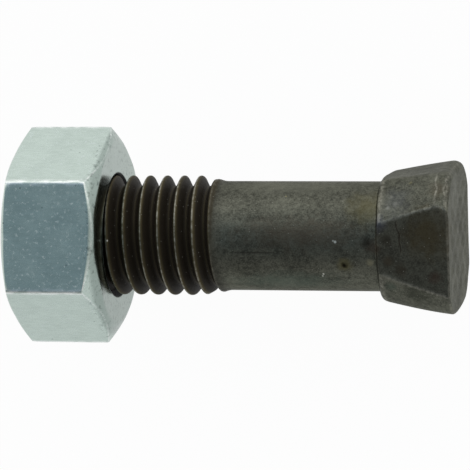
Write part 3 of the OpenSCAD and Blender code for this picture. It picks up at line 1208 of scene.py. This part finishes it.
@dataclass(frozen=True)
class ZincPlate:
    """Bright zinc electroplate on cold-forged steel: cool, mirror-like through a fine haze.

    The eye gets blurred reflections on flat faces, faint forging streaks along the nut, tiny pale
    pits, a few specks of dirt, near-white polish with painted highlights along the edges, a rubbed
    bearing face darkened as painted shade, and black oil with painted shade in the mouth of the thread.
    """

    plate: str = "#c6d5cd"
    haze: str = "#bac9c1"
    pale: str = "#d2dddb"
    dirt: str = "#55605c"
    # Rubbed bearing face, darker than the plate as painted shade
    rubbed_and_shaded: str = "#9fada6"
    # Mouth of the thread: black oil, and painted shade in the bore and countersink
    oil: str = "#0a0c10"
    # Near white on the edges and corners: polish, and painted highlights
    polished_and_highlight: str = "#f4f8f6"

    # The pits, dirt and grit are drawn coarser than the real ones, so that they show
    cloud: Pattern = Pattern(2.2, 5.0, 0.6)
    streak: Pattern = Pattern(0.3, 3.0, drawn=0.3)
    grit: Pattern = Pattern(0.2, 3.0, relief=0.6)
    pits: Pattern = Pattern(0.35, 3.0, 0.7)
    grime: Pattern = Pattern(0.45, 5.0, 0.65)
    dirt_mm: float = 1.5
    tone: Ramp = Ramp(0.75, 1.25)
    pitted: Ramp = Ramp(0.57, 0.7, 0.0, 0.8)
    spotted: Ramp = Ramp(0.08, 0.03, 0.0, 0.6)
    uneven: Ramp = Ramp(0.4, 0.56, 0.2)
    grimy: Ramp = Ramp(0.54, 0.68, 0.0, 0.7)

    # Bearing face, which is rubbed smooth and darkened in colour as painted shade, grime round it, and the
    # mouth of the thread, painted black as oil and painted shade
    seat: Ramp = Ramp(-0.75, -0.45)
    seat_smooth: Ramp = Ramp(0.0, 1.0, 1.0, 0.12)
    near_seat: Ramp = Ramp(-1.5, -0.5)
    mouth: Ramp = Ramp(6.33, 6.2)

    roughness: Ramp = Ramp(0.3, 0.7, 0.16, 0.26)
    pit_roughness: float = 0.6
    oil_roughness: float = 0.5
    metallic: Ramp = Ramp(0.0, 1.0, 1.0, 0.0)
    specular: float = 0.1
    relief_mm: float = 0.006

    def material(self) -> bpy.types.Material:
        """Make the material.

        Returns:
            The material.
        """
        material = bpy.data.materials.new("bright_zinc_plate")
        material.use_nodes = True
        tree = material.node_tree
        shader = tree.nodes["Principled BSDF"]
        shader.inputs["Specular IOR Level"].default_value = self.specular
        place = bolt_frame(tree)
        cloud = add_node(tree, "TexNoise", self.cloud.inputs(place))
        grit = add_node(tree, "TexNoise", self.grit.inputs(place))
        drawn = add_node(tree, "Mapping", {"Vector": place, "Scale": (self.streak.drawn, 1, 1)})
        streak = add_node(tree, "TexNoise", self.streak.inputs(drawn.outputs[0]))
        mottle = add_node(tree, "Math", {0: cloud.outputs[0], 1: streak.outputs[0]}, operation="ADD")
        tone = add_node(tree, "MapRange", self.tone.inputs(mottle.outputs[0]))
        parts = add_node(tree, "SeparateXYZ", {0: place})
        seat = add_node(tree, "MapRange", self.seat.inputs(parts.outputs["X"]))
        smooth = add_node(tree, "MapRange", self.seat_smooth.inputs(seat.outputs[0]))
        pit = add_node(tree, "TexNoise", self.pits.inputs(place))
        pit = add_node(tree, "MapRange", self.pitted.inputs(pit.outputs[0]))
        pit = add_node(tree, "Math", {0: pit.outputs[0], 1: smooth.outputs[0]}, operation="MULTIPLY")
        spot = add_node(tree, "TexVoronoi", {"Vector": place, "Scale": 1 / self.dirt_mm})
        spot = add_node(tree, "MapRange", self.spotted.inputs(spot.outputs["Distance"]))
        # Edges: polish and painted highlights, from the mesh's attribute
        worn = add_node(tree, "Attribute", attribute_name=WEAR_AND_HIGHLIGHT)
        uneven = add_node(tree, "MapRange", self.uneven.inputs(streak.outputs[0]))
        edge = add_node(tree, "Math", {0: worn.outputs["Fac"], 1: uneven.outputs[0]}, operation="MULTIPLY")
        near = add_node(tree, "MapRange", self.near_seat.inputs(parts.outputs["X"]))
        grime = add_node(tree, "TexNoise", self.grime.inputs(place))
        grime = add_node(tree, "MapRange", self.grimy.inputs(grime.outputs[0]))
        grime = add_node(tree, "Math", {0: grime.outputs[0], 1: near.outputs[0]}, operation="MULTIPLY")
        # Mouth mask: inside the countersink's radius the plate is painted black, as oil and as shade
        across = add_node(tree, "VectorMath", {0: place, 1: (0, 1, 1)}, operation="MULTIPLY")
        across = add_node(tree, "VectorMath", {0: across.outputs[0]}, operation="LENGTH")
        mouth = add_node(tree, "MapRange", self.mouth.inputs(across.outputs["Value"]))
        colour = add_node(tree, "Mix", {MIX_SHARE: tone.outputs[0], MIX_UNDER: linear(self.haze),
                                        MIX_OVER: linear(self.plate)}, data_type="RGBA")
        # Layers over the plate: rubbed bearing face darkened as painted shade, pits, dirt, polish with
        # painted highlights, grime, and the mouth painted black as oil and shade
        layers = ((seat, self.rubbed_and_shaded), (pit, self.pale), (spot, self.dirt), (edge, self.polished_and_highlight),
                  (grime, self.dirt), (mouth, self.oil))
        for share, over in layers:
            under = colour.outputs[MIX_RESULT]
            colour = add_node(tree, "Mix", {MIX_SHARE: share.outputs[0], MIX_UNDER: under,
                                            MIX_OVER: linear(over)}, data_type="RGBA")
        tree.links.new(colour.outputs[MIX_RESULT], shader.inputs["Base Color"])
        rough = add_node(tree, "MapRange", self.roughness.inputs(cloud.outputs[0]))
        for share, over in ((pit, self.pit_roughness), (mouth, self.oil_roughness)):
            rough = add_node(tree, "Mix", {MIX_SHARE: share.outputs[0], FLOAT_UNDER: rough.outputs[0],
                                           FLOAT_OVER: over}, data_type="FLOAT")
        tree.links.new(rough.outputs[0], shader.inputs["Roughness"])
        metal = add_node(tree, "MapRange", self.metallic.inputs(mouth.outputs[0]))
        tree.links.new(metal.outputs[0], shader.inputs["Metallic"])
        height = add_node(tree, "Math", {0: grit.outputs[0], 1: self.grit.relief, 2: mottle.outputs[0]},
                          operation="MULTIPLY_ADD")
        relief = add_node(tree, "Bump", {"Height": height.outputs[0], "Distance": self.relief_mm * MM,
                                         "Strength": smooth.outputs[0]})
        tree.links.new(relief.outputs[0], shader.inputs["Normal"])
        return material


@dataclass(frozen=True)
class Lamp:
    """A soft lamp beside the object.

    Its side is 1 towards +Y and -1 towards -Y, its elevation is in degrees, its size is the width along
    the bolt and the height in metres, and its radiance is 1 where its face is white.
    """

    name: str
    side: float
    elevation: float
    size: Point
    radiance: float


@dataclass
class Studio:
    """Pale floor, soft light that is stronger on the +Y side and dimmer overhead, and the camera."""

    # Floor, and how much it glows to the eye and in reflections on each side
    floor_w: float = 12.0
    paper: str = "#f6f6f5"
    glow_seen: float = 0.965
    glow_mirrored: Ramp = Ramp(-0.05, 0.05, 0.42, 1.0)

    # Sky, from the horizon to overhead, and its strength from one side to the other
    white: str = "#ffffff"
    overhead: str = "#879aa8"
    horizon: float = 0.55
    sky_strength: Ramp = Ramp(-0.45, 0.3, 0.45, 1.1)

    lamps: tuple[Lamp, ...] = (
        Lamp("key_softbox", 1, 38, (0.7, 0.6), 0.12), Lamp("fill_strip", -1, 12, (0.7, 0.06), 0.35))
    lamp_reach: float = 0.45

    # Camera: what it aims at and how far away it is, in metres, and how it leans, in degrees
    aim: Row = (-0.0001, 0.00004, 0.0085)
    distance: float = 0.3156
    lean_head: float = 15.97
    lean_side: float = 1.81
    roll: float = -0.065
    lens: float = 243.2
    clip_start: float = 0.01

    def floor(self) -> None:
        """Lay the floor, white to the eye and in reflections, with the object's shadow on it."""
        bpy.ops.object.select_all(action="DESELECT")
        bpy.ops.mesh.primitive_plane_add(size=self.floor_w)
        plane = bpy.context.object
        plane.name = "floor"
        material = bpy.data.materials.new("white_paper")
        material.use_nodes = True
        tree = material.node_tree
        tree.nodes.clear()
        path = add_node(tree, "LightPath")
        mirrored = add_node(tree, "Math", {0: path.outputs["Is Glossy Ray"],
                                           1: path.outputs["Is Transmission Ray"]}, operation="MAXIMUM")
        coord = add_node(tree, "TexCoord")
        parts = add_node(tree, "SeparateXYZ", {0: coord.outputs["Object"]})
        sides = add_node(tree, "MapRange", self.glow_mirrored.inputs(parts.outputs["Y"]))
        mirrored = add_node(tree, "Math", {0: mirrored.outputs[0], 1: sides.outputs[0]}, operation="MULTIPLY")
        share = add_node(tree, "Math", {0: path.outputs["Is Camera Ray"], 1: self.glow_seen,
                                        2: mirrored.outputs[0]}, operation="MULTIPLY_ADD")
        matt = add_node(tree, "BsdfDiffuse", {"Color": linear(self.paper)})
        glow = add_node(tree, "Emission", {"Color": linear(self.white), "Strength": 1.0})
        mix = add_node(tree, "MixShader", {0: share.outputs[0], 1: matt.outputs[0], 2: glow.outputs[0]})
        add_node(tree, "OutputMaterial", {"Surface": mix.outputs[0]})
        plane.data.materials.append(material)

    def sky(self) -> None:
        """Light the room: white near the horizon, dim and bluish overhead."""
        world = bpy.data.worlds.new("studio")
        world.use_nodes = True
        tree = world.node_tree
        coord = add_node(tree, "TexCoord")
        parts = add_node(tree, "SeparateXYZ", {0: coord.outputs["Generated"]})
        ramp = add_node(tree, "ValToRGB", {0: parts.outputs["Z"]})
        stops = ((self.horizon, self.white), (1.0, self.overhead))
        for element, (position, colour) in zip(ramp.color_ramp.elements, stops):
            element.position = position
            element.color = linear(colour)
        strength = add_node(tree, "MapRange", self.sky_strength.inputs(parts.outputs["Y"]))
        background = tree.nodes["Background"]
        tree.links.new(ramp.outputs["Color"], background.inputs["Color"])
        tree.links.new(strength.outputs[0], background.inputs["Strength"])
        bpy.context.scene.world = world

    def softbox(self, lamp: Lamp) -> None:
        """Hang a soft lamp beside the object.

        Args:
            lamp: where it hangs, how large and how bright it is.
        """
        rise = math.radians(lamp.elevation)
        data = bpy.data.lights.new(lamp.name, "AREA")
        data.shape = "RECTANGLE"
        data.size, data.size_y = lamp.size
        data.energy = lamp.radiance * math.pi * lamp.size[0] * lamp.size[1]
        box = bpy.data.objects.new(lamp.name, data)
        box.location = (0, lamp.side * self.lamp_reach * math.cos(rise), self.lamp_reach * math.sin(rise))
        box.rotation_euler = (lamp.side * (rise - math.pi / 2), 0, 0)
        box.visible_camera = False
        bpy.context.scene.collection.objects.link(box)

    def camera(self) -> None:
        """Set the camera at the photograph's viewing angle."""
        lean = [math.tan(math.radians(a)) for a in (self.lean_head, self.lean_side)]
        back = Vector((*lean, 1)).normalized()
        right = Vector((0, 1, 0)).cross(back).normalized()
        up = back.cross(right)
        roll = Matrix.Rotation(math.radians(self.roll), 4, "Z")
        turn = Matrix((right, up, back)).transposed().to_4x4() @ roll
        data = bpy.data.cameras.new("camera")
        data.lens = self.lens
        data.clip_start = self.clip_start
        camera = bpy.data.objects.new("camera", data)
        camera.matrix_world = Matrix.Translation(Vector(self.aim) + back * self.distance) @ turn
        bpy.context.scene.collection.objects.link(camera)
        bpy.context.scene.camera = camera

    def build(self) -> None:
        """Set the whole stage."""
        self.floor()
        self.sky()
        for lamp in self.lamps:
            self.softbox(lamp)
        self.camera()
        bpy.context.scene.view_settings.view_transform = "Standard"


def main() -> None:
    """Build the pieces and the stage in order, and report each piece."""
    logging.basicConfig(level=logging.INFO, format="%(message)s")
    nut = HexNut()
    bolt = Bolt()
    black, zinc = BlackSteel(), ZincPlate()
    bolt_piece = bolt.build(nut.seat)
    bolt.dress(bolt_piece, black)
    nut_piece = nut.build()
    nut.dress(nut_piece, zinc)
    for piece in (bolt_piece, nut_piece):
        piece.data.calc_loop_triangles()
        LOG.info("%s: %d triangles", piece.name, len(piece.data.loop_triangles))
    Studio().build()


if __name__ == "__main__":
    main()
